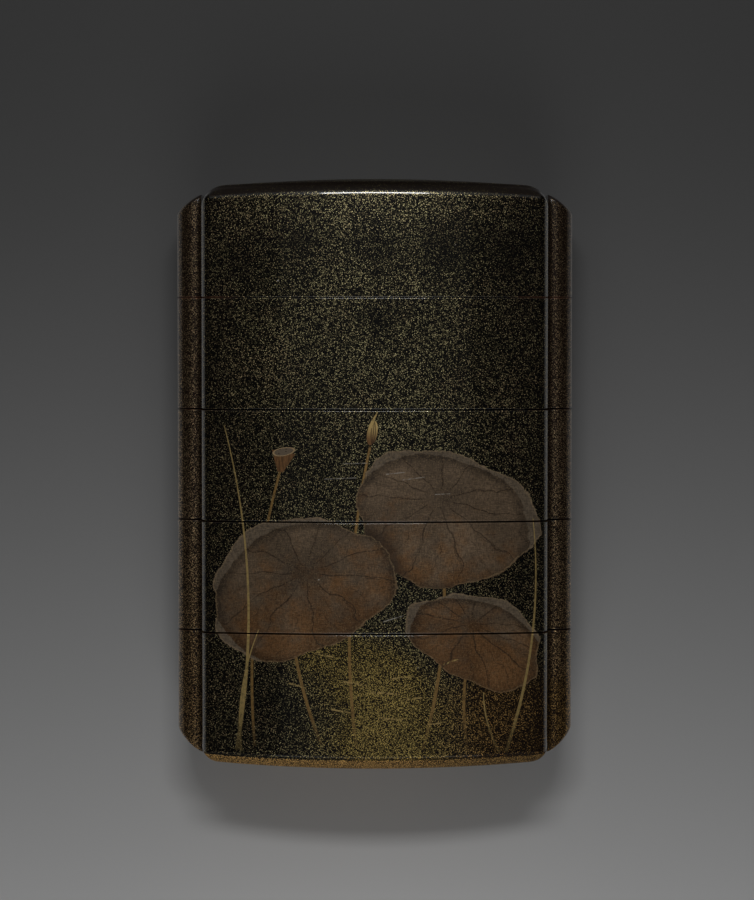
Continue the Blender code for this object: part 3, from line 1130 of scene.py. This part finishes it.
insideLook = {
    "dark": (0.012, 0.006, 0.004), "light": (0.03, 0.012, 0.007), "amount": 0.5, "flakeCell": 0.2,
    "flakeSize": 0.6, "spread": 8.0, "gloss": 0.3,
    "flakeGloss": 0.1,  # rougher by this
    "coat": 0.6,
}


def insideMaterial():
    # dark red-brown lacquer with a thin scatter of gold, for the insides and the risers
    material, tree, shader = newMaterial("insideLacquer")
    look = insideLook
    place = placeHere(tree)
    dust = useGroup(
        goldDust, Place=place, Cell=look["flakeCell"], Size=look["flakeSize"], Spread=look["spread"],
        Amount=times(cloud(place, 4.0, 3, 0.6), look["amount"]),
    )
    base = mixColour(cloud(place, 6.0, 3, 0.6), look["dark"], look["light"])
    gold = timesValue(lacquerLook["gold"], dust["Glint"])
    feedAll(shader, {
        "Base Color": mixColour(dust["Flake"], base, gold),
        "Metallic": dust["Flake"],
        "Roughness": scaled(dust["Flake"], look["flakeGloss"], look["gloss"]),
        "Coat Weight": look["coat"],
    })
    return material


dustLacquer = lacquerMaterial("goldDustLacquer", False)
pictureLacquer = lacquerMaterial("pictureLacquer", True)
insideLacquer = insideMaterial()
print("materials made")

block = wholeBlock()
inside = insideShape
recess = (inside["halfWidth"], caseShape["halfDepth"] - inside["wall"])
riser = tuple(size - inside["slide"] for size in recess)
room = tuple(size - inside["riserWall"] for size in riser)

for number, node in enumerate(cadNodes):
    above = None if number == 0 else seams[number - 1] - seamShape["gaps"][number - 1] / 2
    below = None if node == cadNodes[-1] else seams[number] + seamShape["gaps"][number] / 2
    piece = cutPiece(block, f"{node}_shell", above, below)
    piece.data.materials.clear()
    piece.data.materials.append(dustLacquer if node in ("lid", "case_1") else pictureLacquer)
    if below is not None:
        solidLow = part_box(node)[0].y / mm
        ceiling = topRim - inside["lidTop"] if number == 0 else solidLow + inside["riser"] + inside["slide"]
        hollow = ovalPlug(*recess, solidLow - inside["overlap"], ceiling)
        combine(piece, hollow, "DIFFERENCE")
        floorAt = ceiling + inside["floor"]
    else:
        floorAt = bottomRim + inside["baseFloor"]
    if above is not None:
        solidHigh = seams[number - 1] - seamShape["solidGap"] / 2
        top = solidHigh + inside["riser"]
        combine(piece, ovalPlug(*riser, floorAt, top), "UNION")
        hollow = ovalPlug(*room, floorAt, top + inside["overlap"])
        combine(piece, hollow, "DIFFERENCE")
    past = inside["channelPast"]
    for side in (-1, 1):
        channel = ovalPlug(
            *inside["channelHalf"], bottomRim - past, topRim + past,
            middle=side * inside["channelAt"], power=2, sides=inside["channelSides"],
        )
        combine(piece, channel, "DIFFERENCE")
    finishPiece(piece, node)
    print("made", piece.name, len(piece.data.polygons), "faces")
bpy.data.objects.remove(block, do_unlink=True)


floorLook = {
    "size": 3.0, "below": 0.00005, "near": 0.7, "far": 0.087,
    "from": -75.0,  # the paper's tone runs from near to far between these, a painted falloff of light, pale near and dark far
    # the tone darkens from the middle out to 60 mm to the left and right, painted falloff of light as well
    "to": 75.0, "bend": 2.15, "across": (0, 60, 1.07, 0.92),
    "paintedSideReflection": 0.78,  # painted reflection: the tone the polish alone sees to the left and right
    "paintedSideReflectionFrom": (28, 40), "roughness": 0.9, "specular": 0.1,
}

# each light's place, what it points at if that isn't the case, its size and its power
lights = {
    "fillLight": ((0.0, -0.47, 0.34), None, (0.4, 0.58), 0.9),
    "backLight": ((0.0, 0.46, 0.3), (0.0, 0.07, 0.0), (0.9, 0.6), 0.37),
    "softLight": ((0.0, 0.0, 0.7), None, (0.42, 0.6), 0.022),
}

stripLook = {
    "tilt": 26.7,  # its slant from straight above, towards the lid
    "distance": 0.5, "size": (0.16, 0.045), "power": 0.545,
}
worldStrength = 0.012

cameraLook = {
    "at": (0.33, 22.27),
    "above": 450.0,  # over the case's middle plane
    "looksAtY": 3.27,
    "sees": 131.7,  # height of the view on the middle plane
    "sensor": 36.0, "clipStart": 0.01,
}


def addFloor():
    deselectAll()
    bpy.ops.mesh.primitive_plane_add(size=floorLook["size"], location=(0, 0, -floorLook["below"]))
    floor = bpy.context.object
    bpy.ops.object.transform_apply()
    floor.name = "floor"
    # the paper's tone is painted light: a falloff from pale near to dark far, and darker to the left and
    # right
    material, tree, shader = newMaterial("paperPaintedFalloff")
    x, y, _ = splitXyz(placeHere(tree))
    length = floorLook["to"] - floorLook["from"]
    share = calc("DIVIDE", less(floorLook["to"], y), length)
    share = calc("ADD", share, 0, clamp=True)
    share = calc("POWER", share, floorLook["bend"])
    tone = mixValue(share, floorLook["far"], floorLook["near"])
    tone = times(tone, ease(absolute(x), *floorLook["across"]))
    # painted reflection: glossy rays see paler paper to the left and right than the camera does
    paintedSideReflection = ease(absolute(x), *floorLook["paintedSideReflectionFrom"])
    glossy = tree.nodes.new("ShaderNodeLightPath").outputs["Is Glossy Ray"]
    tone = mixValue(times(paintedSideReflection, glossy), tone, floorLook["paintedSideReflection"])
    feedAll(shader, {
        "Base Color": joinXyz(tone, tone, tone),
        "Roughness": floorLook["roughness"],
        "Specular IOR Level": floorLook["specular"],
    })
    floor.data.materials.append(material)


def placeNew(name, data, location):
    made = bpy.data.objects.new(name, data)
    bpy.context.scene.collection.objects.link(made)
    made.location = location
    return made


def addLight(name, at, aimAt, size, power):
    data = bpy.data.lights.new(name, "AREA")
    data.shape = "RECTANGLE"
    data.size, data.size_y = size
    data.energy = power
    light = placeNew(name, data, at)
    light.rotation_euler = (Vector(aimAt) - Vector(at)).to_track_quat("-Z", "Y").to_euler()


def addCamera():
    data = bpy.data.cameras.new("camera")
    x, y = cameraLook["at"]
    camera = placeNew("camera", data, (x * mm, y * mm, (caseMiddle + cameraLook["above"]) * mm))
    camera.rotation_euler = (-math.atan2(y - cameraLook["looksAtY"], cameraLook["above"]), 0, 0)
    data.sensor_fit = "VERTICAL"
    data.sensor_height = cameraLook["sensor"]
    data.lens = cameraLook["sensor"] * cameraLook["above"] / cameraLook["sees"]
    data.clip_start = cameraLook["clipStart"]
    bpy.context.scene.camera = camera


addFloor()
centre = (0, 0, caseMiddle * mm)
tilt = math.radians(stripLook["tilt"])
stripAt = (0, stripLook["distance"] * math.sin(tilt), stripLook["distance"] * math.cos(tilt))
addLight("stripLight", stripAt, centre, stripLook["size"], stripLook["power"])
for name, (at, aimAt, size, power) in lights.items():
    addLight(name, at, aimAt or centre, size, power)
world = bpy.data.worlds.new("room")
world.use_nodes = True
feedAll(world.node_tree.nodes["Background"], {"Color": (1, 1, 1, 1), "Strength": worldStrength})
bpy.context.scene.world = world
bpy.context.scene.view_settings.view_transform = "Standard"
addCamera()
print("floor, light and camera set")
